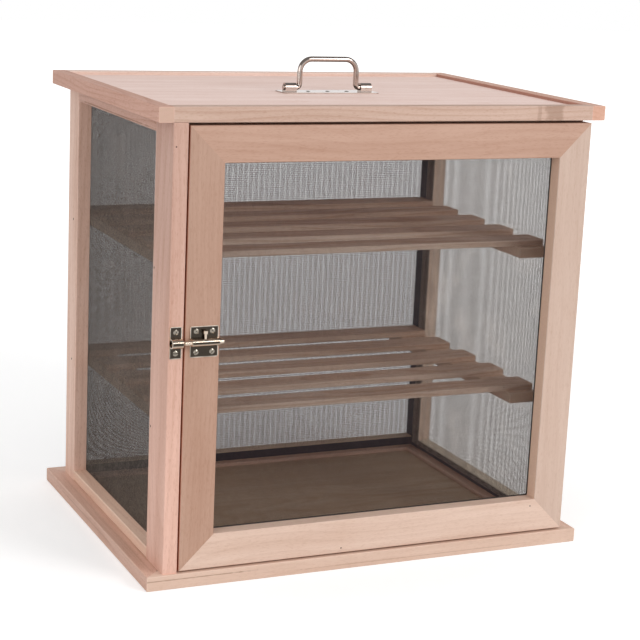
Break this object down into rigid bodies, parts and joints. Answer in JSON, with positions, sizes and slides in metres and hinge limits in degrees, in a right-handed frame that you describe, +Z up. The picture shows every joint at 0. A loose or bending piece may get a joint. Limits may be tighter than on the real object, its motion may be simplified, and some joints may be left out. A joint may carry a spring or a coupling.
{
  "type": "pie safe",
  "caption": "Table-top pie safe in pale beech with wire-screen walls, a screened mitred door, slatted shelves, a barrel bolt and a folding carry handle.",
  "frame": {"origin": "middle of the underside of the base", "axes": "+Z up, the door faces -Y, +X towards the hinged side of the door"},
  "size_m": [0.524, 0.3966, 0.5445],
  "materials": {
    "beech_base": "planed, light oil",
    "beech_frame": "planed, light oil",
    "beech_door": "planed, light oil",
    "beech_top": "planed, light oil",
    "beech_shelf": "planed, unfinished",
    "wire_screen": "woven wire cloth, dull grey",
    "nickel_bolt": "bright nickel plate",
    "chrome_handle": "bright chrome plate",
    "steel_hinge": "bright zinc plate",
    "nickel_screws": "nickel plate",
    "steel_nails": "plain steel, dull"
  },
  "bodies": {
    "case": {"back_bottom_rail": "beech_frame", "back_screen": "wire_screen", "back_top_rail": "beech_frame", "base_back_rail": "beech_base", "base_front_rail": "beech_base", "base_left_rail": "beech_base", "base_right_rail": "beech_base", "bearer_nails": "steel_nails", "bolt_keeper": "nickel_bolt", "case_screws": "nickel_screws", "floor_panel": "beech_base", "front_bottom_rail": "beech_frame", "front_top_rail": "beech_frame", "handle_plate": "chrome_handle", "hinge_pins": "steel_hinge", "left_back_post": "beech_frame", "left_bottom_rail": "beech_frame", "left_front_post": "beech_frame", "left_screen": "wire_screen", "left_top_rail": "beech_frame", "lower_hinge_post_leaf": "steel_hinge", "lower_left_bearer": "beech_shelf", "lower_right_bearer": "beech_shelf", "lower_slat_1": "beech_shelf", "lower_slat_2": "beech_shelf", "lower_slat_3": "beech_shelf", "lower_slat_4": "beech_shelf", "lower_slat_5": "beech_shelf", "right_back_post": "beech_frame", "right_bottom_rail": "beech_frame", "right_front_post": "beech_frame", "right_screen": "wire_screen", "right_top_rail": "beech_frame", "top_back_edging": "beech_top", "top_front_edging": "beech_top", "top_left_edging": "beech_top", "top_panel": "beech_top", "top_right_edging": "beech_top", "upper_hinge_post_leaf": "steel_hinge", "upper_left_bearer": "beech_shelf", "upper_right_bearer": "beech_shelf", "upper_slat_1": "beech_shelf", "upper_slat_2": "beech_shelf", "upper_slat_3": "beech_shelf", "upper_slat_4": "beech_shelf", "upper_slat_5": "beech_shelf"},
    "door": {"bolt_plate": "nickel_bolt", "door_bottom_rail": "beech_door", "door_hinge_stile": "beech_door", "door_latch_stile": "beech_door", "door_screen": "wire_screen", "door_screws": "nickel_screws", "door_top_rail": "beech_door", "lower_hinge_door_leaf": "steel_hinge", "upper_hinge_door_leaf": "steel_hinge"},
    "bolt": {"bolt": "nickel_bolt"},
    "handle": {"handle_bow": "chrome_handle"}
  },
  "joints": [
    {"name": "door_hinge", "type": "hinge", "parent": "case", "child": "door", "pos_m": [0.2473, -0.1742, 0.098], "axis": [0, 0, 1], "range_deg": [0, 180]},
    {"name": "bolt_slide", "type": "slide", "parent": "door", "child": "bolt", "axis": [-1, 0, 0], "range_m": [0, 0.0105]},
    {"name": "handle_fold", "type": "hinge", "parent": "case", "child": "handle", "pos_m": [0.0015, -0.016, 0.5098], "axis": [1, 0, 0], "range_deg": [-90, 90]}
  ]
}
